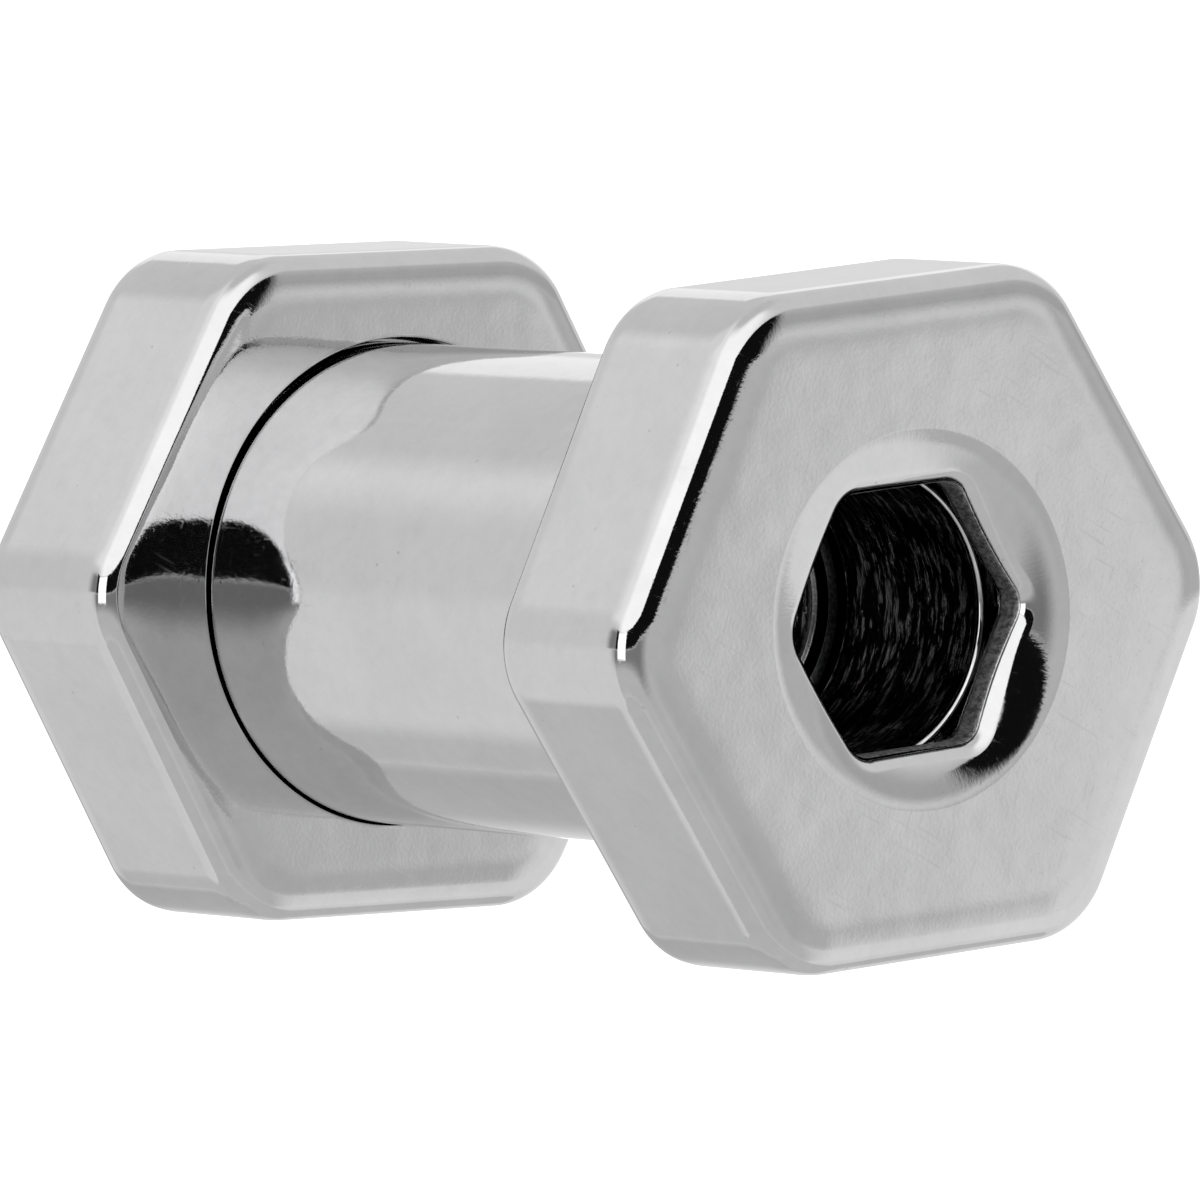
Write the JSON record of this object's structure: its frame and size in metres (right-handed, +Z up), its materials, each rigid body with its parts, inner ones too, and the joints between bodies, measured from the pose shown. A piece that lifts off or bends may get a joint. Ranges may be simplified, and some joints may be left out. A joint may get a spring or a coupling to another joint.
{
  "type": "hexagonal screw-fit ear tunnel",
  "caption": "Hollow ear tunnel with a round barrel between thick hexagonal end plates, one of which unscrews with its stem; dished faces and a hexagonal hole.",
  "frame": {"origin": "on the surface that the tunnel lies on, under the middle of the barrel", "axes": "+X along the barrel, from the screw cap to the head; +Z up, square to the cap's upper flat; +Y across"},
  "size_m": [0.017, 0.0122, 0.0113],
  "materials": {
    "polished_steel": "polished stainless steel with fine scratches",
    "polished_steel_cap": "polished stainless steel with fine scratches"
  },
  "bodies": {
    "head": {"head_barrel": "polished_steel"},
    "cap": {"screw_cap": "polished_steel_cap"}
  },
  "joints": [
    {"name": "cap_unscrew", "type": "slide", "parent": "head", "child": "cap", "axis": [-1, 0, 0], "range_m": [0, 0.0105]}
  ]
}
